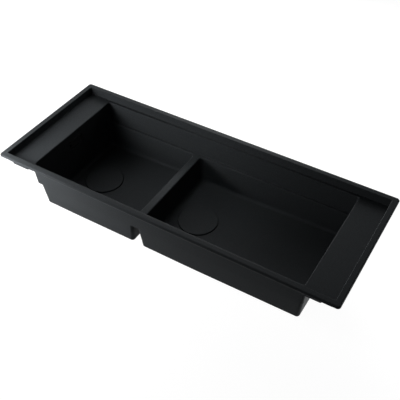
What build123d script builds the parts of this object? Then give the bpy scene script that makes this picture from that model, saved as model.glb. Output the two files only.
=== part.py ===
from build123d import *
import math
import os

# A long inset kitchen sink with two bowls, moulded in one piece from stone composite.
#
# X runs along the length from left to right, Y from front to back, Z up, all in millimetres.
# The origin is the centre of the sink in the plane of the worktop, where the underside of
# the rim rests. The sink drops into a cut-out in the worktop from above.

# The rim, the raised border that rests on the worktop
rim_length = 1160.0
rim_width = 466.0
rim_thickness = 7.7
rim_border = 19.4
rim_corner_radius = 9.5
rim_edge_radius = 5.0
rim_underside_radius = 0.8
rim_inner_radius = 2.0

# The recess inside the rim, with a plain deck at each end
recess_depth = 26.6
recess_draft = 1.5
recess_corner_radius = 4.0
recess_cove_radius = 1.8
left_deck_width = 86.1
right_deck_width = 94.1
front_shelf_width = 23.6
back_shelf_width = 10.6
deck_lip_radius = 3.0

# The trough between the decks, down to the lower ledges
trough_depth = 100.0
trough_draft = 3.35
trough_corner_radius = 6.0
ledge_width = 10.1
ledge_lip_radius = 4.0
ledge_cove_radius = 1.8

# The two bowls and the divider between them
bowl_depth = 195.0
bowl_draft = 5.14
bowl_corner_radius = 12.5
floor_corner_radius = 11.5
left_bowl_length = 359.6
divider_width = 26.0
left_floor_rise = 3.0
right_floor_rise = 8.0
floor_fold_radius = 2500.0

# Walls of the moulding
recess_wall = 6.4
recess_floor = 7.0
recess_outer_radius = 12.0
recess_outer_corner_radius = 13.0
left_pad_width = 61.0
right_pad_width = 51.0
pad_length = 434.0
pad_drop = 1.6
pad_edge_radius = 1.5
pad_corner_radius = 6.0
trough_end_wall = 9.5
trough_side_wall = 7.0
trough_outer_corner_radius = 8.0
ledge_web = 6.5
bowl_end_wall = 7.2
bowl_side_wall = 8.8
divider_wall = 6.0
floor_wall = 10.0
bowl_outer_corner_radius = 10.5
bowl_outer_floor_radius = 8.0

# The soft strip in a groove under the rim
rim_seal_width = 5.0
rim_seal_thickness = 2.0
rim_seal_inset = 5.0
rim_seal_corner_radius = 8.0

# The wastes: where they are, and the holes that the floors have for them
waste_offset_back = 5.5
left_waste_from_end = 104.1
right_waste_from_divider = 101.5
waste_hole_radius = 45.0
waste_boss_radius = 75.0
waste_boss_drop = 6.0
cover_recess_depth = 6.0
left_fold_from_waste = 31.0
right_fold_from_waste = 78.0

# Round cover over each waste
cover_radius = 65.5
cover_gap = 2.0
cover_rise = 3.5
cover_thickness = 4.0
cover_edge_radius = 1.2
cover_foot_radius = 51.0
cover_foot_width = 3.0
cover_foot_count = 4
cover_foot_angle = 40.0

# Pressed steel flange with its strainer cup
flange_radius = 57.0
flange_sheet = 1.2
flange_bend_radius = 3.0
cup_radius = 42.0
cup_bottom_radius = 38.0
cup_depth = 38.0
cup_hole_radius = 5.0
cup_hole_count = 8
cup_hole_circle = 25.0
flange_seal_thickness = 1.5
flange_seal_radius = 56.0

# Lift-out basket, its seal and its knob
basket_clearance = 0.6
basket_sheet = 0.9
basket_drop = 2.0
basket_hole_radius = 2.0
basket_hole_rings = {11.0: 8, 18.5: 12, 26.0: 18}
basket_slot_count = 16
basket_slot_height = 12.0
basket_slot_width = 3.0
basket_seal_radius = 33.0
basket_seal_bore_radius = 8.0
basket_seal_thickness = 3.0
knob_radius = 9.0
knob_height = 7.0
knob_edge_radius = 1.5
knob_neck_radius = 5.0
knob_drop = 3.0

# Moulded waste body under each bowl
gasket_thickness = 3.0
body_flange_radius = 56.0
body_flange_thickness = 4.0
body_radius = 49.0
body_wall = 3.0
body_depth = 38.0
body_cone_height = 12.0
outlet_radius = 23.9
outlet_bore_radius = 19.5
outlet_length = 26.0
hub_radius = 8.0
hub_spoke_width = 3.0
hub_spoke_drop = 4.0
hub_spoke_count = 4
screw_radius = 3.0
screw_end_length = 3.0
screw_head_radius = 6.0
screw_head_height = 3.0
fit_clearance = 0.05
ring_gap = 0.3

# Overflow in the left end wall
overflow_drop = 67.0
overflow_length = 66.0
overflow_height = 34.0
overflow_corner_radius = 4.0
overflow_pocket_gap = 1.0
overflow_pocket_depth = 3.4
overflow_frame_thickness = 2.0
overflow_slot_width = 4.5
overflow_slot_height = 14.0
overflow_slot_spacing = 55.0
overflow_cover_length = 49.0
overflow_cover_height = 28.0
overflow_cover_thickness = 1.4
overflow_cover_corner_radius = 1.0
overflow_band_height = 5.0
overflow_band_rise = 1.0
overflow_hole_length = 60.0
overflow_hole_height = 20.0
overflow_boss_rise = 3.0
overflow_boss_length = 82.0
overflow_boss_height = 40.0
overflow_gasket_thickness = 2.0
overflow_screw_spacing = 28.0
overflow_screw_radius = 2.0
overflow_screw_head_radius = 3.8
overflow_screw_head_height = 1.8
overflow_screw_length = 20.0
overflow_post_radius = 4.5
overflow_post_drop = 8.0

# Moulded elbow behind the overflow
elbow_flange_length = 78.0
elbow_flange_height = 38.0
elbow_flange_thickness = 3.0
elbow_chamber_depth = 29.0
elbow_wall = 2.2

# Ribbed hose from the elbow to the left waste body, with a seal and a nut at each end
hose_bore_radius = 7.4
hose_cuff_radius = 8.9
hose_root_radius = 9.4
hose_rib_radius = 11.6
hose_rib_pitch = 4.6
hose_crest_length = 1.4
hose_root_length = 0.9
hose_cuff_taper = 1.0
hose_turn_size = 34.0
hose_bend_radius = 52.0
hose_insertion = 10.0
hose_plain_length = 4.0
spigot_radius = 12.0
spigot_length = 18.0
nut_radius = 14.6
nut_grip_radius = 1.0
nut_grip_count = 12
nut_overlap = 11.0
nut_shoulder = 3.0
hose_seal_thickness = 2.5
inlet_drop = 22.0

# Working margins: how far a cutting shape passes what it cuts, how far the block with the
# ledges passes the trough before it is trimmed, and how near counts as level or as along an axis
margin = 1.0
ledge_block_margin = 16.0
level_tolerance = 0.001
place_tolerance = 0.1
along_axis = 0.9

# Heights, counted from the plane of the worktop
rim_top = rim_thickness
deck_level = rim_top - recess_depth
ledge_level = rim_top - trough_depth
floor_level = rim_top - bowl_depth
recess_bottom = deck_level - recess_floor
step_level = ledge_level - ledge_web
floor_underside = floor_level - floor_wall
boss_underside = floor_underside - waste_boss_drop
cover_recess_level = floor_level - cover_recess_depth

# Heights of the waste fittings
flange_underside = cover_recess_level + flange_seal_thickness
flange_top = flange_underside + flange_sheet
cup_underside = flange_underside - cup_depth
cup_floor = cup_underside + flange_sheet
basket_underside = cup_floor + basket_seal_thickness
basket_floor = basket_underside + basket_sheet
basket_top = flange_top - basket_drop
cover_top = floor_level + cover_rise
cover_underside = cover_top - cover_thickness
body_top = boss_underside - gasket_thickness
body_cup_bottom = body_top - body_depth
outlet_top = body_cup_bottom - body_cone_height
outlet_end = outlet_top - outlet_length
inlet_level = body_top - inlet_drop


def lean(depth, draft):
    """How far a wall leans in over a depth, at a draft angle in degrees."""
    return depth * math.tan(math.radians(draft))


# Plan of the recess at the rim's top, the trough at deck level and the bowls at ledge level
recess_half_length = rim_length / 2 - rim_border
recess_half_width = rim_width / 2 - rim_border
trough_left = -recess_half_length + left_deck_width
trough_right = recess_half_length - right_deck_width
trough_front = -recess_half_width + front_shelf_width
trough_back = recess_half_width - back_shelf_width
trough_lean = lean(deck_level - ledge_level, trough_draft)
bowls_left = trough_left + trough_lean
bowls_right = trough_right - trough_lean
bowls_front = trough_front + trough_lean + ledge_width
bowls_back = trough_back - trough_lean - ledge_width
divider_left = bowls_left + left_bowl_length
divider_right = divider_left + divider_width
left_waste_x = bowls_left + left_waste_from_end
right_waste_x = divider_right + right_waste_from_divider

# Places of the overflow pieces, along X through the left end wall
overflow_level = rim_top - overflow_drop
overflow_wall_x = trough_left + lean(deck_level - overflow_level, trough_draft)
overflow_pocket_x = overflow_wall_x - overflow_pocket_depth
overflow_frame_face_x = overflow_pocket_x + overflow_frame_thickness
overflow_seat_x = overflow_wall_x - trough_end_wall - overflow_boss_rise
elbow_face_x = overflow_seat_x - overflow_gasket_thickness
elbow_back_x = elbow_face_x - elbow_chamber_depth
hose_x = (elbow_back_x + elbow_face_x - elbow_flange_thickness) / 2
elbow_spigot_end = overflow_level - overflow_hole_height / 2 - elbow_wall - spigot_length
inlet_mouth_x = left_waste_x - body_radius - spigot_length

# Route of the hose: down from the elbow, round in two equal turns, then level into the waste body
hose_start_z = elbow_spigot_end + hose_insertion
hose_end_x = inlet_mouth_x + hose_insertion
hose_points = [
    (hose_x, waste_offset_back, hose_start_z),
    (hose_x, waste_offset_back, inlet_level + hose_turn_size),
    (hose_x + hose_turn_size, waste_offset_back, inlet_level),
    (hose_end_x, waste_offset_back, inlet_level),
]


def box_between(low, high):
    """A block between two opposite corners."""
    size = [top - bottom for bottom, top in zip(low, high)]
    middle = [(top + bottom) / 2 for bottom, top in zip(low, high)]
    return Pos(*middle) * Box(*size)


def prism(face_points, plane, low, high):
    """A prism on a closed outline in one plane, between two distances along its normal."""
    face = make_face(Polyline(face_points, close=True))
    return extrude(plane.offset(low) * face, amount=high - low)


def upright_edges(solid):
    """The edges that run up the corners of a drafted block."""
    return [edge for edge in solid.edges() if abs(edge.tangent_at(0.5).Z) > along_axis]


def drafted_block(x_span, y_span, z_top, z_bottom, draft, corner_radius=0.0):
    """A block with sides that lean in evenly towards its bottom."""
    inward = lean(z_top - z_bottom, draft)
    (left, right), (front, back) = x_span, y_span
    along_x = [(left, z_top), (right, z_top), (right - inward, z_bottom), (left + inward, z_bottom)]
    along_y = [(front, z_top), (back, z_top), (back - inward, z_bottom), (front + inward, z_bottom)]
    block = prism(along_x, Plane.XZ, -back - margin, -front + margin)
    block &= prism(along_y, Plane.YZ, left - margin, right + margin)
    if corner_radius:
        block = fillet(upright_edges(block), corner_radius)
    return block


def bowl_block(x_span, y_span, z_top, low_level, fold_x, rise, radii):
    """A drafted bowl shape whose bottom is level at its left and rises to its right end.

    The bottom folds at fold_x over a large radius. radii are those of the upright corners
    and of the edge round the bottom.
    """
    (left, right), (front, back) = x_span, y_span
    high_level = low_level + rise
    under = low_level - margin
    outline = [
        (left, z_top),
        (right, z_top),
        (right - lean(z_top - high_level, bowl_draft), high_level),
        (fold_x, low_level),
        (left + lean(z_top - low_level, bowl_draft), low_level),
    ]
    face = make_face(Polyline(outline, close=True))
    fold = face.vertices().sort_by_distance((fold_x, low_level))[0]
    face = fillet(fold, floor_fold_radius)
    block = extrude(Plane.XZ.offset(-back - margin) * face, amount=back - front + 2 * margin)
    inward = lean(z_top - under, bowl_draft)
    sides = [(front, z_top), (back, z_top), (back - inward, under), (front + inward, under)]
    block &= prism(sides, Plane.YZ, left - margin, right + margin)
    corner_radius, bottom_radius = radii
    block = fillet(upright_edges(block), corner_radius)
    low_edges = [
        edge for edge in block.edges()
        if edge.bounding_box().max.Z < high_level + corner_radius / 2
    ]
    # The edge round the bottom is smooth, so its stretches along Y follow the others, and the
    # seams of the fold, which also run along Y, are left out.
    round_bottom = [edge for edge in low_edges if abs(edge.tangent_at(0.5).Y) < along_axis]
    return fillet(round_bottom, bottom_radius)


def level_edges(solid, level, x_span, y_span):
    """The edges that lie at one height, inside a window in plan."""
    found = []
    for edge in solid.edges():
        box = edge.bounding_box()
        flat = max(abs(box.min.Z - level), abs(box.max.Z - level)) < level_tolerance
        in_x = box.min.X > x_span[0] and box.max.X < x_span[1]
        in_y = box.min.Y > y_span[0] and box.max.Y < y_span[1]
        if flat and in_x and in_y:
            found.append(edge)
    return found


def window(low, high):
    """A span in plan, opened by the margin at both ends."""
    return low - margin, high + margin


def bowl_pair(wall_x, wall_inner, wall_y, z_top, low_level, radii):
    """The two bowl shapes, grown by the walls and cut off at a height below the ledges."""
    inward = lean(ledge_level - z_top, bowl_draft)
    y_span = bowls_front - wall_y + inward, bowls_back + wall_y - inward
    left_span = bowls_left - wall_x + inward, divider_left + wall_inner - inward
    right_span = divider_right - wall_inner + inward, bowls_right + wall_x - inward
    left_fold = left_waste_x + left_fold_from_waste
    right_fold = right_waste_x + right_fold_from_waste
    left = bowl_block(left_span, y_span, z_top, low_level, left_fold, left_floor_rise, radii)
    right = bowl_block(right_span, y_span, z_top, low_level, right_fold, right_floor_rise, radii)
    return left, right


def inner_shape():
    """Everything that is open inside the sink: recess, trough and bowls, with rounded lips."""
    radii = (bowl_corner_radius, floor_corner_radius)
    left, right = bowl_pair(0, 0, 0, ledge_level, floor_level, radii)
    past = ledge_block_margin
    block_low = (trough_left - past, trough_front - past, ledge_level)
    block_high = (trough_right + past, trough_back + past, deck_level)
    low_part = box_between(block_low, block_high) + left + right
    in_bowls_x, in_bowls_y = window(bowls_left, bowls_right), window(bowls_front, bowls_back)
    low_part = fillet(level_edges(low_part, ledge_level, in_bowls_x, in_bowls_y), ledge_lip_radius)

    trough_x, trough_y = (trough_left, trough_right), (trough_front, trough_back)
    corner = trough_corner_radius
    low_part &= drafted_block(
        trough_x, trough_y, deck_level, floor_underside, trough_draft, corner
    )

    recess_x = -recess_half_length, recess_half_length
    recess_y = -recess_half_width, recess_half_width
    corner = recess_corner_radius
    recess = drafted_block(recess_x, recess_y, rim_top, deck_level, recess_draft, corner)
    recess = fillet(recess.faces().sort_by(Axis.Z)[0].edges(), recess_cove_radius)
    shape = recess + low_part
    lip = level_edges(shape, deck_level, window(*trough_x), window(*trough_y))
    shape = fillet(lip, deck_lip_radius)
    return fillet(ledge_cove_edges(shape), ledge_cove_radius)


def ledge_cove_edges(shape):
    """The long edges where the front and back walls of the trough meet the lower ledges."""
    wall_feet = (trough_front + trough_lean, trough_back - trough_lean)
    in_trough_x, in_trough_y = window(trough_left, trough_right), window(trough_front, trough_back)
    found = []
    for edge in level_edges(shape, ledge_level, in_trough_x, in_trough_y):
        if min(abs(edge.center().Y - foot) for foot in wall_feet) < place_tolerance:
            found.append(edge)
    return found


def outer_shape():
    """The outside of the moulding: rim, recess pan, trough and two bowls."""
    rim_corner = (rim_length / 2, rim_width / 2, rim_top)
    rim = box_between((-rim_length / 2, -rim_width / 2, 0), rim_corner)
    rim = fillet(upright_edges(rim), rim_corner_radius)
    rim = fillet(rim.faces().sort_by(Axis.Z)[-1].edges(), rim_edge_radius)
    rim = fillet(rim.faces().sort_by(Axis.Z)[0].edges(), rim_underside_radius)

    pan_half_length = recess_half_length + recess_wall
    pan_half_width = recess_half_width + recess_wall
    pan_x, pan_y = (-pan_half_length, pan_half_length), (-pan_half_width, pan_half_width)
    corner = recess_outer_corner_radius
    pan = drafted_block(pan_x, pan_y, rim_underside_radius, recess_bottom, recess_draft, corner)
    pan = fillet(pan.faces().sort_by(Axis.Z)[0].edges(), recess_outer_radius)

    trough_x = trough_left - trough_end_wall, trough_right + trough_end_wall
    trough_y = trough_front - trough_side_wall, trough_back + trough_side_wall
    corner = trough_outer_corner_radius
    trough = drafted_block(trough_x, trough_y, deck_level, step_level, trough_draft, corner)

    into_wall = trough_end_wall / 2
    left_pad = deck_pad(trough_x[0] - left_pad_width, trough_x[0] + into_wall)
    right_pad = deck_pad(trough_x[1] - into_wall, trough_x[1] + right_pad_width)

    radii = (bowl_outer_corner_radius, bowl_outer_floor_radius)
    in_the_web = step_level + ledge_web / 2
    bowls = bowl_pair(bowl_end_wall, divider_wall, bowl_side_wall, in_the_web, floor_underside, radii)
    shape = rim + pan + trough + left_pad + right_pad
    for bowl in bowls:
        shape += bowl
    for waste_x in (left_waste_x, right_waste_x):
        height = floor_level - boss_underside
        boss = Cylinder(waste_boss_radius, height, align=(Align.CENTER, Align.CENTER, Align.MIN))
        shape += Pos(waste_x, waste_offset_back, boss_underside) * boss
    return shape + overflow_boss()


def deck_pad(x_low, x_high):
    """The thicker part under a deck, next to the trough's end wall."""
    low = (x_low, -pad_length / 2, recess_bottom - pad_drop)
    high = (x_high, pad_length / 2, deck_level - recess_floor / 2)
    pad = fillet(upright_edges(box_between(low, high)), pad_corner_radius)
    return fillet(pad.faces().sort_by(Axis.Z)[0].edges(), pad_edge_radius)


def rounded_plate(x_low, x_high, length, height, corner_radius):
    """An upright plate on the overflow's axis: length along Y, height along Z."""
    outline = RectangleRounded(length, height, corner_radius)
    face = Plane.YZ.offset(x_low) * Pos(waste_offset_back, overflow_level) * outline
    return extrude(face, amount=x_high - x_low)


def overflow_boss():
    """The flat seat outside the left end wall, where the overflow elbow is clamped."""
    wall_middle = trough_left - trough_end_wall / 2
    length, height = overflow_boss_length, overflow_boss_height
    return rounded_plate(overflow_seat_x, wall_middle, length, height, overflow_corner_radius)


def rim_groove(height):
    """The strip that runs all the way round under the rim."""
    length = rim_length - 2 * rim_seal_inset
    width = rim_width - 2 * rim_seal_inset
    corner = rim_seal_corner_radius
    outside = RectangleRounded(length, width, corner)
    inner_corner = corner - rim_seal_width
    inside = RectangleRounded(length - 2 * rim_seal_width, width - 2 * rim_seal_width, inner_corner)
    return extrude(outside - inside, amount=height)


def basin():
    """The one-piece moulding."""
    shape = outer_shape() - inner_shape()
    inside_rim_x = window(-recess_half_length, recess_half_length)
    inside_rim_y = window(-recess_half_width, recess_half_width)
    shape = fillet(level_edges(shape, rim_top, inside_rim_x, inside_rim_y), rim_inner_radius)
    shape -= rim_groove(rim_seal_thickness)
    for waste_x in (left_waste_x, right_waste_x):
        at = Pos(waste_x, waste_offset_back, 0)
        shape -= at * cylinder_between(cover_radius + cover_gap, cover_recess_level, ledge_level)
        shape -= at * cylinder_between(waste_hole_radius, boss_underside - margin, ledge_level)
    pocket_length = overflow_length + 2 * overflow_pocket_gap
    pocket_height = overflow_height + 2 * overflow_pocket_gap
    pocket_corner = overflow_corner_radius + overflow_pocket_gap
    into_trough = trough_left + trough_end_wall
    shape -= rounded_plate(
        overflow_pocket_x, into_trough, pocket_length, pocket_height, pocket_corner
    )
    return shape - overflow_hole(overflow_seat_x - margin, into_trough)


def overflow_hole(x_low, x_high):
    """The long hole through the end wall."""
    length, height = overflow_hole_length, overflow_hole_height
    return rounded_plate(x_low, x_high, length, height, overflow_corner_radius)


def cylinder_between(radius, z_low, z_high):
    """An upright cylinder on the Z axis."""
    align = (Align.CENTER, Align.CENTER, Align.MIN)
    return Pos(0, 0, z_low) * Cylinder(radius, z_high - z_low, align=align)


def cylinder_along_x(radius, x_low, x_high):
    """A level cylinder on the X axis."""
    return Rot(0, 90, 0) * cylinder_between(radius, x_low, x_high)


def turned(outline, angle=360.0):
    """A solid turned about the Z axis from an outline of (radius, height) points."""
    return revolve(Plane.XZ * make_face(Polyline(outline, close=True)), Axis.Z, angle)


def ring(inner_radius, outer_radius, z_low, z_high):
    """A flat upright ring on the Z axis."""
    hole = cylinder_between(inner_radius, z_low, z_high)
    return cylinder_between(outer_radius, z_low, z_high) - hole



def cup_inner_radius(height):
    """Inner radius of the strainer cup at a height between its floor and the flange."""
    share = (height - cup_floor) / (flange_top - cup_floor)
    return cup_bottom_radius + share * (cup_radius - cup_bottom_radius)


def waste_cover():
    """Round cover with short curved feet that stand on the flange."""
    disc = cylinder_between(cover_radius, cover_underside, cover_top)
    disc = fillet(disc.edges().filter_by(GeomType.CIRCLE).sort_by(Axis.Z)[-1], cover_edge_radius)
    inner, outer = cover_foot_radius, cover_foot_radius + cover_foot_width
    section = [
        (inner, flange_top),
        (outer, flange_top),
        (outer, cover_underside),
        (inner, cover_underside),
    ]
    foot = turned(section, cover_foot_angle)
    for index in range(cover_foot_count):
        disc += Rot(0, 0, index * 360 / cover_foot_count) * foot
    return disc


def waste_flange():
    """Flange and strainer cup, pressed from one sheet, with a ring of holes in its floor."""
    screw_hole = screw_radius + fit_clearance
    outline = [
        (flange_radius, flange_underside),
        (flange_radius, flange_top),
        (cup_radius, flange_top),
        (cup_bottom_radius, cup_floor),
        (screw_hole, cup_floor),
        (screw_hole, cup_underside),
        (cup_bottom_radius + flange_sheet, cup_underside),
        (cup_radius + flange_sheet, flange_underside),
    ]
    face = make_face(Polyline(outline, close=True))
    inner_bend = face.vertices().sort_by_distance((cup_radius, flange_top))[0]
    face = fillet(inner_bend, flange_bend_radius)
    outer_bend = face.vertices().sort_by_distance((cup_radius + flange_sheet, flange_underside))[0]
    face = fillet(outer_bend, flange_bend_radius - flange_sheet)
    cup = revolve(Plane.XZ * face, Axis.Z)
    hole = cylinder_between(cup_hole_radius, cup_underside - margin, cup_floor + margin)
    for index in range(cup_hole_count):
        cup -= Rot(0, 0, index * 360 / cup_hole_count) * Pos(cup_hole_circle, 0, 0) * hole
    return cup


def basket():
    """Perforated basket that stands in the strainer cup on its seal."""
    top_radius = cup_inner_radius(basket_top) - basket_clearance
    low_radius = cup_inner_radius(basket_underside) - basket_clearance
    outline = [
        (0, basket_underside),
        (low_radius, basket_underside),
        (top_radius, basket_top),
        (top_radius - basket_sheet, basket_top),
        (low_radius - basket_sheet, basket_floor),
        (0, basket_floor),
    ]
    cup = turned(outline)
    hole = cylinder_between(basket_hole_radius, basket_underside - margin, basket_floor + margin)
    for circle, count in basket_hole_rings.items():
        for index in range(count):
            cup -= Rot(0, 0, index * 360 / count) * Pos(circle, 0, 0) * hole
    middle = (basket_floor + basket_top) / 2
    low = (low_radius / 2, -basket_slot_width / 2, middle - basket_slot_height / 2)
    high = (top_radius + margin, basket_slot_width / 2, middle + basket_slot_height / 2)
    slot = box_between(low, high)
    for index in range(basket_slot_count):
        cup -= Rot(0, 0, index * 360 / basket_slot_count) * slot
    return cup


def basket_knob():
    """Round knob on a neck in the middle of the basket."""
    top = flange_top - knob_drop
    neck = cylinder_between(knob_neck_radius, basket_floor, top - knob_height)
    head = cylinder_between(knob_radius, top - knob_height, top)
    return neck + fillet(head.edges().filter_by(GeomType.CIRCLE), knob_edge_radius)


def waste_body(has_inlet):
    """Moulded body under a bowl, with a hub on spokes for the screw and a threaded outlet."""
    inner = body_radius - body_wall
    outline = [
        (inner, body_top),
        (body_flange_radius, body_top),
        (body_flange_radius, body_top - body_flange_thickness),
        (body_radius, body_top - body_flange_thickness),
        (body_radius, body_cup_bottom),
        (outlet_radius, outlet_top),
        (outlet_radius, outlet_end),
        (outlet_bore_radius, outlet_end),
        (outlet_bore_radius, outlet_top),
        (inner, body_cup_bottom),
    ]
    body = turned(outline)
    hub = cylinder_between(hub_radius, body_cup_bottom, cup_underside)
    spoke_low = (0, -hub_spoke_width / 2, body_cup_bottom)
    spoke_high = (inner + body_wall / 2, hub_spoke_width / 2, cup_underside - hub_spoke_drop)
    spoke = box_between(spoke_low, spoke_high)
    body += hub
    for index in range(hub_spoke_count):
        body += Rot(0, 0, (index + 0.5) * 360 / hub_spoke_count) * spoke
    screw_hole = screw_radius + fit_clearance
    body -= cylinder_between(screw_hole, body_cup_bottom - margin, cup_underside + margin)
    if has_inlet:
        mouth = -body_radius - spigot_length
        middle_of_wall = -body_radius + body_wall / 2
        level = Pos(0, 0, inlet_level)
        body += level * cylinder_along_x(spigot_radius, mouth, middle_of_wall)
        bore = hose_cuff_radius + fit_clearance
        body -= level * cylinder_along_x(bore, mouth - margin, -hub_radius - body_wall)
    return body


def centre_screw():
    """Screw that pulls the flange, the bowl and the body together."""
    shank = cylinder_between(screw_radius, body_cup_bottom - screw_end_length, cup_floor)
    return shank + cylinder_between(screw_head_radius, cup_floor, cup_floor + screw_head_height)


def waste_pieces(has_inlet):
    """All the pieces of one waste, on the Z axis."""
    seal_bore = waste_hole_radius + ring_gap
    return {
        "waste_cover": waste_cover(),
        "waste_flange": waste_flange(),
        "flange_seal": ring(seal_bore, flange_seal_radius, cover_recess_level, flange_underside),
        "basket": basket(),
        "basket_seal": ring(basket_seal_bore_radius, basket_seal_radius, cup_floor, basket_underside),
        "basket_knob": basket_knob(),
        "body_gasket": ring(seal_bore, body_flange_radius, body_top, boss_underside),
        "waste_body": waste_body(has_inlet),
        "centre_screw": centre_screw(),
    }


def on_both_screws(solid):
    """A solid on the X axis, repeated at the two screws of the overflow."""
    middle = Pos(0, waste_offset_back, overflow_level)
    half = overflow_screw_spacing / 2
    return [middle * Pos(0, side * half, 0) * solid for side in (-1, 1)]


def overflow_screw(clearance=0.0):
    """Countersunk screw whose head is flush with the front of the overflow frame."""
    shank = overflow_screw_radius + clearance
    head = overflow_screw_head_radius + clearance
    outline = [
        (0, 0),
        (head, 0),
        (shank, -overflow_screw_head_height),
        (shank, -overflow_screw_length),
        (0, -overflow_screw_length),
    ]
    return Pos(overflow_frame_face_x, 0, 0) * Rot(0, 90, 0) * turned(outline)


def overflow_frame():
    """Flat frame in the pocket of the end wall, with a slot at each end for the water."""
    length, height, corner = overflow_length, overflow_height, overflow_corner_radius
    plate = rounded_plate(overflow_pocket_x, overflow_frame_face_x, length, height, corner)
    for side in (-1, 1):
        slot_y = waste_offset_back + side * overflow_slot_spacing / 2
        half_width, half_height = overflow_slot_width / 2, overflow_slot_height / 2
        low = (overflow_pocket_x - margin, slot_y - half_width, overflow_level - half_height)
        high = (overflow_frame_face_x + margin, slot_y + half_width, overflow_level + half_height)
        plate -= box_between(low, high)
    for hole in on_both_screws(overflow_screw(fit_clearance)):
        plate -= hole
    return plate


def overflow_cover():
    """Cover that clips over the screws, with a raised band along its top and its bottom."""
    face_x = overflow_frame_face_x + overflow_cover_thickness
    length, height = overflow_cover_length, overflow_cover_height
    band_x = face_x + overflow_band_rise
    plate = rounded_plate(overflow_frame_face_x, band_x, length, height, overflow_cover_corner_radius)
    half_length = length / 2 + margin
    half_height = height / 2 - overflow_band_height
    low = (face_x, waste_offset_back - half_length, overflow_level - half_height)
    high = (band_x + margin, waste_offset_back + half_length, overflow_level + half_height)
    return plate - box_between(low, high)


def overflow_gasket():
    """Soft frame between the elbow and its seat on the end wall."""
    length, height, corner = elbow_flange_length, elbow_flange_height, overflow_corner_radius
    plate = rounded_plate(elbow_face_x, overflow_seat_x, length, height, corner)
    return plate - overflow_hole(elbow_face_x - margin, overflow_seat_x + margin)


def overflow_elbow():
    """Flanged chamber that turns the water down into a spigot, with two posts for the screws."""
    flange_back = elbow_face_x - elbow_flange_thickness
    length, height, corner = elbow_flange_length, elbow_flange_height, overflow_corner_radius
    elbow = rounded_plate(flange_back, elbow_face_x, length, height, corner)
    chamber_length = overflow_hole_length + 2 * elbow_wall
    chamber_height = overflow_hole_height + 2 * elbow_wall
    chamber_corner = corner + elbow_wall
    elbow += rounded_plate(elbow_back_x, flange_back, chamber_length, chamber_height, chamber_corner)
    at_spigot = Pos(hose_x, waste_offset_back, 0)
    elbow += at_spigot * cylinder_between(spigot_radius, elbow_spigot_end, overflow_level)
    elbow -= overflow_hole(elbow_back_x + elbow_wall, elbow_face_x + margin)
    bore_radius = hose_cuff_radius + fit_clearance
    elbow -= at_spigot * cylinder_between(bore_radius, elbow_spigot_end - margin, overflow_level)
    post_start, post_end = elbow_back_x + elbow_wall / 2, overflow_pocket_x - overflow_post_drop
    for post in on_both_screws(cylinder_along_x(overflow_post_radius, post_start, post_end)):
        elbow += post
    screw_end = overflow_frame_face_x - overflow_screw_length
    bore = cylinder_along_x(overflow_screw_radius + fit_clearance, screw_end, post_end + margin)
    for hole in on_both_screws(bore):
        elbow -= hole
    return elbow


def hose_section(route, distance, radius):
    """A circle square to the hose's route, at a distance along it from the elbow."""
    share = distance / route.length
    middle, along = route.position_at(share), route.tangent_at(share)
    return Plane(origin=middle, x_dir=(0, 1, 0), z_dir=along) * Circle(radius)


def overflow_hose():
    """Ribbed hose with plain ends, made as one ruled loft and bored along its route."""
    route = FilletPolyline(*hose_points, radius=hose_bend_radius)
    cuff = hose_insertion + hose_seal_thickness + nut_shoulder + hose_plain_length
    ribbed = route.length - 2 * cuff
    rib_count = int(ribbed / hose_rib_pitch)
    pitch = ribbed / rib_count
    profile = (
        (hose_root_length / 2, hose_root_radius),
        ((pitch - hose_crest_length) / 2, hose_rib_radius),
        ((pitch + hose_crest_length) / 2, hose_rib_radius),
        (pitch - hose_root_length / 2, hose_root_radius),
    )
    plain_end = cuff - hose_cuff_taper
    stations = [(0, hose_cuff_radius), (plain_end, hose_cuff_radius)]
    for index in range(rib_count):
        stations += [(cuff + index * pitch + offset, radius) for offset, radius in profile]
    stations += [(route.length - plain_end, hose_cuff_radius), (route.length, hose_cuff_radius)]
    outside = loft([hose_section(route, *station) for station in stations], ruled=True)
    bore = sweep(hose_section(route, 0, hose_bore_radius), path=route)
    expected = math.pi * hose_bore_radius ** 2 * route.length
    print("hose length", round(route.length, 1), "ribs", rib_count)
    print("bore volume", round(bore.volume), "section times length", round(expected))
    return outside - bore


def hose_nut():
    """Ring nut over the end of a spigot. The spigot's end lies at height 0, pointing down."""
    bore, hose_hole = spigot_radius + 2 * fit_clearance, hose_cuff_radius + ring_gap
    nut_end = -hose_seal_thickness - nut_shoulder
    outline = [
        (bore, nut_overlap),
        (nut_radius, nut_overlap),
        (nut_radius, nut_end),
        (hose_hole, nut_end),
        (hose_hole, -hose_seal_thickness),
        (bore, -hose_seal_thickness),
    ]
    nut = turned(outline)
    grip = Pos(nut_radius, 0, 0) * cylinder_between(nut_grip_radius, nut_end, nut_overlap)
    for index in range(nut_grip_count):
        nut += Rot(0, 0, index * 360 / nut_grip_count) * grip
    return nut


def hose_seal():
    """Soft ring between a nut and the end of its spigot, which lies at height 0."""
    return ring(hose_cuff_radius + fit_clearance, spigot_radius, -hose_seal_thickness, 0)


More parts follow.
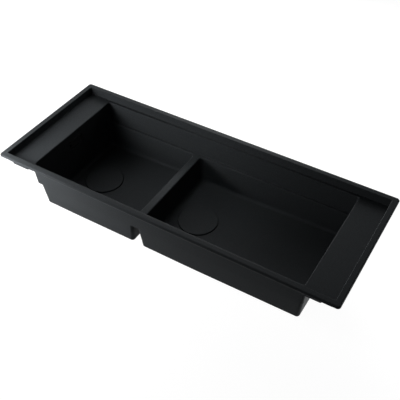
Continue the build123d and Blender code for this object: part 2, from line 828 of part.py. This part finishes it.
def sink_pieces():
    """Every piece of the sink by its name."""
    pieces = {"basin": basin(), "rim_seal": rim_groove(rim_seal_thickness)}
    for side, waste_x in (("left", left_waste_x), ("right", right_waste_x)):
        at_waste = Pos(waste_x, waste_offset_back, 0)
        for name, piece in waste_pieces(has_inlet=side == "left").items():
            pieces[f"{side}_{name}"] = at_waste * piece
    pieces["overflow_frame"] = overflow_frame()
    pieces["overflow_cover"] = overflow_cover()
    pieces["overflow_gasket"] = overflow_gasket()
    pieces["overflow_screws"] = Compound(children=on_both_screws(overflow_screw()))
    pieces["overflow_elbow"] = overflow_elbow()
    pieces["overflow_hose"] = overflow_hose()
    at_elbow = Pos(hose_x, waste_offset_back, elbow_spigot_end)
    at_inlet = Pos(inlet_mouth_x, waste_offset_back, inlet_level) * Rot(0, 90, 0)
    for name, place in (("upper", at_elbow), ("lower", at_inlet)):
        pieces[f"{name}_hose_nut"] = place * hose_nut()
        pieces[f"{name}_hose_seal"] = place * hose_seal()
    return pieces


os.makedirs("parts", exist_ok=True)
for node, piece in sink_pieces().items():
    export_step(piece, f"parts/{node}.step")
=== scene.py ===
import math

import bpy
import numpy as np
from mathutils import Matrix, Vector


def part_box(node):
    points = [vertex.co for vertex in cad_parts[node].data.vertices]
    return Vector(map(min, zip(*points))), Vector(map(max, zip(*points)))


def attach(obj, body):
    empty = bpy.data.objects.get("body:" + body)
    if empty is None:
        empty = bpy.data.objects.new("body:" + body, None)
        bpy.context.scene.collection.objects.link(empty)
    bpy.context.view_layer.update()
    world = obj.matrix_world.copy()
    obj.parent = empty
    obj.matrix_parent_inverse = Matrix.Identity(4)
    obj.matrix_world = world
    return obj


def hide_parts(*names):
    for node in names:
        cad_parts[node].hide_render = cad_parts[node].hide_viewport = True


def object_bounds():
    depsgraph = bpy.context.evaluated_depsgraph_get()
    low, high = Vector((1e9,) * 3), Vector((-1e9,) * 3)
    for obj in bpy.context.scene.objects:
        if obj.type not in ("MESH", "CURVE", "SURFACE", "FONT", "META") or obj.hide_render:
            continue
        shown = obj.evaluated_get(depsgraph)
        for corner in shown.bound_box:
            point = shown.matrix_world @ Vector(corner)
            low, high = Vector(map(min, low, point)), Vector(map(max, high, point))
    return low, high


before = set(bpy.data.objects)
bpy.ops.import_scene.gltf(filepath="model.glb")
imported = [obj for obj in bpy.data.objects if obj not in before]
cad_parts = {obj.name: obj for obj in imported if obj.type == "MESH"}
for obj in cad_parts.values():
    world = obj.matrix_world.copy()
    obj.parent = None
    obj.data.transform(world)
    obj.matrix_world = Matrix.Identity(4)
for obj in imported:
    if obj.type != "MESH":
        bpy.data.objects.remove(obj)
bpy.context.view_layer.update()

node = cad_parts


# The photographer's camera. It stands at the front right and looks down into the bowls. Its place
# and its angles come from the sink's own straight edges in the picture.
camera_place = Vector((0.7827, -1.2497, 1.3311))
camera_yaw, camera_pitch, camera_roll = (math.radians(angle) for angle in (31.16, 44.09, 0.14))
backwards = Vector((
    math.sin(camera_yaw) * math.cos(camera_pitch),
    -math.cos(camera_yaw) * math.cos(camera_pitch),
    math.sin(camera_pitch),
))
level_right = Vector((math.cos(camera_yaw), math.sin(camera_yaw), 0))
level_up = backwards.cross(level_right)
right = level_right * math.cos(camera_roll) + level_up * math.sin(camera_roll)
up = backwards.cross(right)
camera_turn = Matrix((right, up, backwards)).transposed().to_4x4()
camera = bpy.data.objects.new("camera", bpy.data.cameras.new("camera"))
camera.data.sensor_width = 36.0
camera.data.lens = 58.07
camera.matrix_world = Matrix.Translation(camera_place) @ camera_turn
bpy.context.scene.collection.objects.link(camera)
bpy.context.scene.camera = camera
bpy.context.scene.view_settings.view_transform = "Standard"


# The studio. Soft boxes stand round the left end and behind, so the light falls off along the sink, a
# low one lifts the right end, and two narrow ones hang over the right bowl. The sink stands on a sweep
# of white paper, which keeps its shadow.
def add_node(tree, kind, inputs=None, **settings):
    """One shader node. Settings are its own choices. Inputs are values, or outputs linked to it."""
    made = tree.nodes.new(kind)
    for name, value in settings.items():
        setattr(made, name, value)
    for name, value in (inputs or {}).items():
        if isinstance(value, bpy.types.NodeSocket):
            tree.links.new(value, made.inputs[name])
        else:
            made.inputs[name].default_value = value
    return made


def soft_box(name, place, target, size, watts, beam=180):
    """A square lamp at a place, turned to face a target. A grid on its front can narrow its beam."""
    lamp = bpy.data.lights.new(name, "AREA")
    lamp.shape = "SQUARE"
    lamp.size, lamp.energy = size, watts
    lamp.spread = math.radians(beam)
    holder = bpy.data.objects.new(name, lamp)
    aim = (Vector(target) - Vector(place)).to_track_quat("-Z", "Y")
    holder.matrix_world = Matrix.Translation(place) @ aim.to_matrix().to_4x4()
    bpy.context.scene.collection.objects.link(holder)


sink_middle = (-0.2, 0.0, -0.08)
for name, place, size, watts in (
    ("front_low", (-0.75, -0.50, 0.10), 0.3, 4.3),
    ("front_low_near", (-0.65, -0.42, 0.15), 0.25, 2.2),
    ("left_low", (-2.00, 1.10, 0.55), 0.4, 6.0),
    ("left_high", (-2.00, 0.50, 1.50), 0.4, 4.2),
    ("back_low", (-0.60, 1.50, 0.50), 1.0, 23.5),
    ("back_middle", (-0.95, 1.64, 1.38), 0.9, 7.5),
    ("back_high", (-1.20, 1.60, 2.20), 0.6, 2.8),
    ("right_low", (1.20, 0.25, -0.15), 0.2, 2.5),
):
    soft_box(name, place, sink_middle, size, watts)

right_bowl_back = (0.0, 0.15, -0.15)
narrow_box_size = 0.2
for name, place, watts, beam in (
    ("bowl_back", (-0.20, 0.30, 0.80), 0.012, 30),
    ("bowl_middle", (-0.22, -0.10, 0.60), 0.11, 50),
):
    soft_box(name, place, right_bowl_back, narrow_box_size, watts, beam)


def in_view(tree):
    """1 on what the camera sees, straight, in a gloss or through glass, and 0 on what only gives light:
    the largest of the flags of those three kinds of ray."""
    ray = add_node(tree, "ShaderNodeLightPath").outputs
    seen = ray["Is Camera Ray"]
    for flag in (ray["Is Glossy Ray"], ray["Is Transmission Ray"]):
        seen = add_node(tree, "ShaderNodeMath", {0: seen, 1: flag}, operation="MAXIMUM").outputs[0]
    return seen


# The room is white to look at, and gives little light itself.
surroundings = bpy.data.worlds.new("studio")
bpy.context.scene.world = surroundings
surroundings.use_nodes = True
tree = surroundings.node_tree
tree.nodes.clear()
room, white = (
    add_node(tree, "ShaderNodeBackground", {"Color": (1, 1, 1, 1), "Strength": strength}).outputs[0]
    for strength in (0.005, 1.0)
)
mixed = add_node(tree, "ShaderNodeMixShader", {0: in_view(tree), 1: room, 2: white})
add_node(tree, "ShaderNodeOutputWorld", {"Surface": mixed.outputs[0]})

sweep_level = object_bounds()[0].z
sweep_reach = 8.0
sweep_corners = [(x * sweep_reach, y * sweep_reach, sweep_level)
                 for x, y in ((-1, -1), (1, -1), (1, 1), (-1, 1))]
sweep_mesh = bpy.data.meshes.new("sweep")
sweep_mesh.from_pydata(sweep_corners, [], [(0, 1, 2, 3)])
sweep = bpy.data.objects.new("sweep", sweep_mesh)
bpy.context.scene.collection.objects.link(sweep)

# The paper lights the sink as matt white paper does. To look at, it glows, and a part of its own shading
# on top of that keeps the shadow.
paper_grey, shadow_grey, glow_strength = 0.8, 0.2, 0.95
paper = bpy.data.materials.new("white_paper")
paper.use_nodes = True
tree = paper.node_tree
tree.nodes.clear()
matt, shaded = (
    add_node(tree, "ShaderNodeBsdfDiffuse", {"Color": (grey, grey, grey, 1)}).outputs[0]
    for grey in (paper_grey, shadow_grey)
)
glow = add_node(tree, "ShaderNodeEmission", {"Color": (1, 1, 1, 1), "Strength": glow_strength})
bright = add_node(tree, "ShaderNodeAddShader", {0: shaded, 1: glow.outputs[0]})
mixed = add_node(tree, "ShaderNodeMixShader", {0: in_view(tree), 1: matt, 2: bright.outputs[0]})
add_node(tree, "ShaderNodeOutputMaterial", {"Surface": mixed.outputs[0]})
sweep_mesh.materials.append(paper)


# The basin and the two waste covers. They are cast from quartz grit in black acrylic resin, in heated
# moulds, and the face is left as the mould leaves it: matt, a little blue, with a grain that is barely
# seen. The grit is 0.1 to 0.7 mm across, and is drawn a little coarser so that it shows close to.
def linear(code):
    """Linear colour of an sRGB hex code: c / 12.92 up to 0.04045, then ((c + 0.055) / 1.055) ^ 2.4."""
    parts = np.array([int(code[place:place + 2], 16) for place in (1, 3, 5)]) / 255
    parts = np.where(parts <= 0.04045, parts / 12.92, ((parts + 0.055) / 1.055) ** 2.4)
    return (*parts.tolist(), 1.0)


def new_material(name, centre=(0.0, 0.0, 0.0)):
    """An empty material of that name, its node tree, and object coordinates less that centre."""
    made = bpy.data.materials.new(name)
    made.use_nodes = True
    tree = made.node_tree
    tree.nodes.clear()
    place = add_node(tree, "ShaderNodeTexCoord").outputs["Object"]
    to_centre = tuple(-part for part in centre)
    place = add_node(tree, "ShaderNodeMapping", {"Vector": place, "Location": to_centre})
    return made, tree, place.outputs["Vector"]


def skin(tree, tint, tones, height, depth, looks, strength=1.0):
    """What every material of the sink ends in. Its colour is first + tint * (second - first) of the two
    tones, and its relief is height * depth, in metres. Tint and height go from 0 to 1. The looks go
    into the shader's own sockets."""
    tone = add_node(tree, "ShaderNodeValToRGB", {"Fac": tint})
    for stop, code in zip(tone.color_ramp.elements, tones):
        stop.color = linear(code)
    bump = add_node(tree, "ShaderNodeBump", {"Height": height, "Distance": depth, "Strength": strength})
    pattern = {"Base Color": tone.outputs["Color"], "Normal": bump.outputs["Normal"]}
    shader = add_node(tree, "ShaderNodeBsdfPrincipled", {**pattern, **looks})
    add_node(tree, "ShaderNodeOutputMaterial", {"Surface": shader.outputs["BSDF"]})


def finish_with(objects, material):
    """Puts one material on each of the objects."""
    for thing in objects:
        thing.data.materials.clear()
        thing.data.materials.append(material)


grit_size = 0.0009
grain_size, grain_depth = 2 * grit_size, 0.00005
composite, tree, place = new_material("cast_quartz_acrylic_composite")
grit = add_node(tree, "ShaderNodeTexVoronoi", {"Vector": place, "Scale": 1 / grit_size})
grain = add_node(tree, "ShaderNodeTexNoise", {"Vector": place, "Scale": 1 / grain_size, "Detail": 3.0})
skin(tree, grit.outputs["Color"], ("#2c2e30", "#3a3d3f"), grain.outputs["Fac"], grain_depth,
     {"Roughness": 0.43, "Specular IOR Level": 0.02})
finish_with([node["basin"], node["left_waste_cover"], node["right_waste_cover"]], composite)


# The strip under the rim. It is dull black closed-cell foam with soft corners, pressed into a groove all
# the way round, and it squeezes flat against the worktop. Its cells are about 0.3 mm across, and are
# drawn coarser so that they show.
def closed_surface(name, grid):
    """A shape from rows of points, in metres. Each row is closed, and the last row meets the first."""
    rows, columns = grid.shape[:2]
    here = np.arange(rows * columns).reshape(rows, columns)
    ahead = np.roll(here, -1, axis=0)
    faces = np.stack([here, np.roll(here, -1, axis=1), np.roll(ahead, -1, axis=1), ahead], axis=-1)
    made = bpy.data.meshes.new(name)
    made.from_pydata(grid.reshape(-1, 3).tolist(), [], faces.reshape(-1, 4).tolist())
    made.polygons.foreach_set("use_smooth", np.ones(rows * columns, dtype=bool))
    thing = bpy.data.objects.new(name, made)
    bpy.context.scene.collection.objects.link(thing)
    return thing


def full_turn(count):
    """That many angles, evenly round a circle."""
    return np.linspace(0, 2 * math.pi, count, endpoint=False)


def rounded_loop(half_length, half_width, radius, arc_points):
    """Points round a rectangle with round corners, each the middle of its corner + radius * outward,
    and the outward directions, which go a quarter turn at each corner."""
    quarter = np.linspace(0, math.pi / 2, arc_points)
    turn = np.concatenate([quarter + corner * math.pi / 2 for corner in range(4)])
    outward = np.stack([np.cos(turn), np.sin(turn)], axis=-1)
    towards = np.array([(1, 1), (-1, 1), (-1, -1), (1, -1)]).repeat(arc_points, axis=0)
    return towards * (half_length - radius, half_width - radius) + radius * outward, outward


def squared_off(wave, power):
    """A sine or cosine wave with flatter tops: its sign * its size ^ power."""
    return np.sign(wave) * np.abs(wave) ** power


strip_low, strip_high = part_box("rim_seal")
strip_width, strip_height = 0.005, strip_high.z - strip_low.z
groove_corner = 0.008
side_power, top_power = 0.45, 0.6
corner_points, section_points = 12, 24
line, outward = rounded_loop(
    strip_high.x - strip_width / 2,
    strip_high.y - strip_width / 2,
    groove_corner - strip_width / 2,
    corner_points,
)
turn = full_turn(section_points)
across = strip_width / 2 * squared_off(np.cos(turn), side_power)
height = strip_low.z + strip_height / 2 * (1 + squared_off(np.sin(turn), top_power))
plan = line[:, None] + across[None, :, None] * outward[:, None]
heights = np.broadcast_to(height[None, :, None], (*plan.shape[:2], 1))
strip = closed_surface("rim_seal_strip", np.concatenate([plan, heights], axis=-1))
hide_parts("rim_seal")
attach(strip, "sink")

cell_size, cell_depth = 0.0006, 0.0002
foam, tree, place = new_material("closed_cell_foam")
cells = add_node(tree, "ShaderNodeTexVoronoi", {"Vector": place, "Scale": 1 / cell_size})
skin(tree, cells.outputs["Distance"], ("#2c2d2f", "#1a1b1c"), cells.outputs["Distance"], cell_depth,
     {"Roughness": 0.9, "Specular IOR Level": 0.2})
finish_with([strip], foam)


# The two wastes: a flange and strainer cup in each bowl's floor and a lift-out basket in it. They are
# pressed and punched from 18/10 stainless sheet and brushed on a lathe, which leaves rings round the
# axis. Real brush lines are 0.05 mm apart, and are drawn coarser so that they show.
waste_axes = {}
for side in ("left", "right"):
    flange_middle = sum(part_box(f"{side}_waste_flange"), Vector()) / 2
    waste_axes[side] = (flange_middle.x, flange_middle.y, 0.0)
brush_pitch, brush_depth = 0.0008, 0.00002
streak_size = 0.00333
wave_radians = 20  # what a wave texture of scale 1 goes through in a metre
ring_scale = 2 * math.pi / (wave_radians * brush_pitch)
for side, axis in waste_axes.items():
    steel, tree, place = new_material(f"lathe_brushed_stainless_{side}", axis)
    rings = add_node(tree, "ShaderNodeTexWave", {"Vector": place, "Scale": ring_scale, "Distortion": 1.5},
                     wave_type="RINGS", rings_direction="Z").outputs["Fac"]
    streaks = add_node(tree, "ShaderNodeTexNoise",
                       {"Vector": place, "Scale": 1 / streak_size, "Detail": 4.0})
    wear = add_node(tree, "ShaderNodeMapRange",
                    {"Value": streaks.outputs["Fac"], "To Min": 0.22, "To Max": 0.34})
    skin(tree, rings, ("#b4b6b8", "#c6c8ca"), rings, brush_depth,
         {"Metallic": 1.0, "Roughness": wear.outputs["Result"]})
    finish_with([node[f"{side}_waste_flange"], node[f"{side}_basket"]], steel)


# The screws: one long screw down the middle of each waste and two countersunk ones behind the overflow
# cover. They are turned and rolled from stainless wire and tumbled, so they are bright and even.
dent_size, dent_depth = 0.00111, 0.00002
turned_steel, tree, place = new_material("turned_stainless")
dents = add_node(tree, "ShaderNodeTexNoise",
                 {"Vector": place, "Scale": 1 / dent_size, "Detail": 2.0}).outputs["Fac"]
skin(tree, dents, ("#a9abad", "#cdcfd1"), dents, dent_depth, {"Metallic": 1.0, "Roughness": 0.24})
screw_names = ["left_centre_screw", "right_centre_screw", "overflow_screws"]
finish_with([node[name] for name in screw_names], turned_steel)


# The black mouldings: the basket knobs, and the frame and cover of the overflow. They are injection
# moulded in ABS, from a mould with a fine spark-eroded texture, which gives a satin black. Real spark
# marks are about 0.05 mm across, and are drawn coarser.
spark_size, spark_depth = 0.0005, 0.00003
satin_black, tree, place = new_material("satin_moulded_abs")
sparks = add_node(tree, "ShaderNodeTexNoise",
                  {"Vector": place, "Scale": 1 / spark_size, "Detail": 2.0}).outputs["Fac"]
skin(tree, sparks, ("#131415", "#1a1b1c"), sparks, spark_depth,
     {"Roughness": 0.42, "Specular IOR Level": 0.15})
black_names = ["left_basket_knob", "right_basket_knob", "overflow_frame", "overflow_cover"]
finish_with([node[name] for name in black_names], satin_black)


# The seals: flat washers and gaskets between the hard pieces, and the soft ring under each basket.
# They are pressed from nitrile rubber, dull and very dark, with a faint bloom of dust.
bloom_size, bloom_depth = 0.00714, 0.0001
seal_rubber, tree, place = new_material("pressed_nitrile_rubber")
bloom = add_node(tree, "ShaderNodeTexNoise",
                 {"Vector": place, "Scale": 1 / bloom_size, "Detail": 6.0}).outputs["Fac"]
skin(tree, bloom, ("#17181a", "#2a2b2c"), bloom, bloom_depth,
     {"Roughness": 0.75, "Specular IOR Level": 0.35}, strength=0.5)
seal_names = ["overflow_gasket", "upper_hose_seal", "lower_hose_seal"]
for side in waste_axes:
    seal_names += [f"{side}_flange_seal", f"{side}_basket_seal", f"{side}_body_gasket"]
finish_with([node[name] for name in seal_names], seal_rubber)


# The plumbing mouldings: a waste body under each bowl, the elbow behind the overflow, and the two nuts
# of its hose. They are injection moulded in grey polypropylene, a little waxy. Each outlet has a pipe
# thread with eleven turns to the inch, drawn as a relief.
thread_pitch, thread_depth = 0.0254 / 11, 0.00148
outlet_length = 0.026
outlet_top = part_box("left_waste_body")[0].z + outlet_length
flow_mark_size = 0.0167
moulding_tones = ("#aeb1b3", "#bcbfc1")
waxy = {"Roughness": 0.42}
# The thread's height is how far a point is from the nearest root, in turns, so it goes from 0 to 0.5.
for side, axis in waste_axes.items():
    plastic, tree, place = new_material(f"moulded_polypropylene_{side}", axis)
    apart = add_node(tree, "ShaderNodeSeparateXYZ", {"Vector": place}).outputs
    angle = add_node(tree, "ShaderNodeMath", {0: apart["Y"], 1: apart["X"]}, operation="ARCTAN2")
    turns = add_node(tree, "ShaderNodeMath", {0: angle.outputs[0], 1: 2 * math.pi}, operation="DIVIDE")
    climb = add_node(tree, "ShaderNodeMath", {0: apart["Z"], 1: 1 / thread_pitch, 2: turns.outputs[0]},
                     operation="MULTIPLY_ADD")
    ridge = add_node(tree, "ShaderNodeMath", {0: climb.outputs[0], 1: 0.5}, operation="PINGPONG")
    below = add_node(tree, "ShaderNodeMath", {0: apart["Z"], 1: outlet_top}, operation="LESS_THAN")
    thread = add_node(tree, "ShaderNodeMath", {0: ridge.outputs[0], 1: below.outputs[0]},
                      operation="MULTIPLY")
    flow = add_node(tree, "ShaderNodeTexNoise",
                    {"Vector": place, "Scale": 1 / flow_mark_size, "Detail": 3.0})
    skin(tree, flow.outputs["Fac"], moulding_tones, thread.outputs[0], 2 * thread_depth, waxy)
    finish_with([node[f"{side}_waste_body"]], plastic)

# The grain of the mould's own face is about 0.05 mm, and is drawn coarser.
skin_grain_size, skin_grain_depth = 0.000667, 0.00003
plain_plastic, tree, place = new_material("moulded_polypropylene")
flow = add_node(tree, "ShaderNodeTexNoise", {"Vector": place, "Scale": 1 / flow_mark_size, "Detail": 3.0})
skin_grain = add_node(tree, "ShaderNodeTexNoise", {"Vector": place, "Scale": 1 / skin_grain_size})
skin(tree, flow.outputs["Fac"], moulding_tones, skin_grain.outputs["Fac"], skin_grain_depth, waxy)
plain_names = ["overflow_elbow", "upper_hose_nut", "lower_hose_nut"]
finish_with([node[name] for name in plain_names], plain_plastic)


# The overflow hose. It is blown from pale grey polypropylene, with rings pressed into its wall so that
# it bends without kinking and a plain cuff at each end for its seal. It goes down from the elbow, round
# under the end of the bowl and level into the side of the left waste body.
def smooth_route(points, steps):
    """Points along the NURBS spline that has these control points, in metres."""
    curve = bpy.data.curves.new("route", "CURVE")
    curve.dimensions = "3D"
    curve.resolution_u = steps
    spline = curve.splines.new("NURBS")
    spline.points.add(len(points) - 1)
    spline.points.foreach_set("co", np.c_[points, np.ones(len(points))].ravel())
    spline.order_u = 3
    spline.use_endpoint_u = True
    holder = bpy.data.objects.new("route", curve)
    traced = bpy.data.meshes.new_from_object(holder)
    places = np.empty(3 * len(traced.vertices))
    traced.vertices.foreach_get("co", places)
    bpy.data.objects.remove(holder)
    bpy.data.curves.remove(curve)
    bpy.data.meshes.remove(traced)
    return places.reshape(-1, 3)


hose_points = [
    (-0.50264, 0.0055, -0.0795),
    (-0.50264, 0.0055, -0.1943),
    (-0.46864, 0.0055, -0.2283),
    (-0.4231, 0.0055, -0.2283),
]
route_steps = 64
route = smooth_route(hose_points, route_steps)
along = np.concatenate([[0], np.cumsum(np.linalg.norm(np.diff(route, axis=0), axis=1))])
hose_length = along[-1]
hose_bore, hose_cuff, hose_root, hose_rib = 0.0074, 0.0089, 0.0094, 0.0116
cuff_length, least_pitch = 0.0195, 0.0046
ribbed_length = hose_length - 2 * cuff_length
rib_count = int(ribbed_length / least_pitch)
rib_pitch = ribbed_length / rib_count
rib_power = 0.6


def ribbed_radius(distance):
    """Root + (rib - root) * (half a cosine wave per pitch) ^ power, and the cuff radius at both ends."""
    wave = 0.5 - 0.5 * np.cos(2 * math.pi * (distance - cuff_length) / rib_pitch)
    ribbed = hose_root + (hose_rib - hose_root) * wave ** rib_power
    plain = (distance < cuff_length) | (distance > hose_length - cuff_length)
    return np.where(plain, hose_cuff, ribbed)


def on_route(distance):
    """The points at these distances along the hose's middle line."""
    return np.stack([np.interp(distance, along, route[:, axis]) for axis in range(3)], axis=-1)


steps_per_rib, bore_steps, points_round = 12, 60, 48
cuff_steps = cuff_length * np.array([0, 0.5, 0.97])
ribbed_steps = np.linspace(cuff_length, hose_length - cuff_length, rib_count * steps_per_rib + 1)
outside = np.concatenate([cuff_steps, ribbed_steps, hose_length - cuff_steps[::-1]])
inside = np.linspace(hose_length, 0, bore_steps)
distance = np.concatenate([outside, inside])
radius = np.concatenate([ribbed_radius(outside), np.full(inside.shape, hose_bore)])
heading_reach = 0.0005
heading = on_route(distance + heading_reach) - on_route(distance - heading_reach)
heading /= np.linalg.norm(heading, axis=1, keepdims=True)
sideways = np.array([0.0, 1.0, 0.0])
upward = np.cross(heading, sideways)
turn = full_turn(points_round)
ring = np.cos(turn)[None, :, None] * sideways + np.sin(turn)[None, :, None] * upward[:, None]
hose_grid = on_route(distance)[:, None] + radius[:, None, None] * ring
hose = closed_surface("overflow_hose_ribbed", hose_grid)
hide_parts("overflow_hose")
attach(hose, "sink")

mottle_size, mottle_depth = 0.0111, 0.0001
blown, tree, place = new_material("blown_polypropylene")
mottle = add_node(tree, "ShaderNodeTexNoise",
                  {"Vector": place, "Scale": 1 / mottle_size, "Detail": 4.0}).outputs["Fac"]
skin(tree, mottle, ("#bec1c3", "#cdd0d2"), mottle, mottle_depth, {"Roughness": 0.5}, strength=0.4)
finish_with([hose], blown)
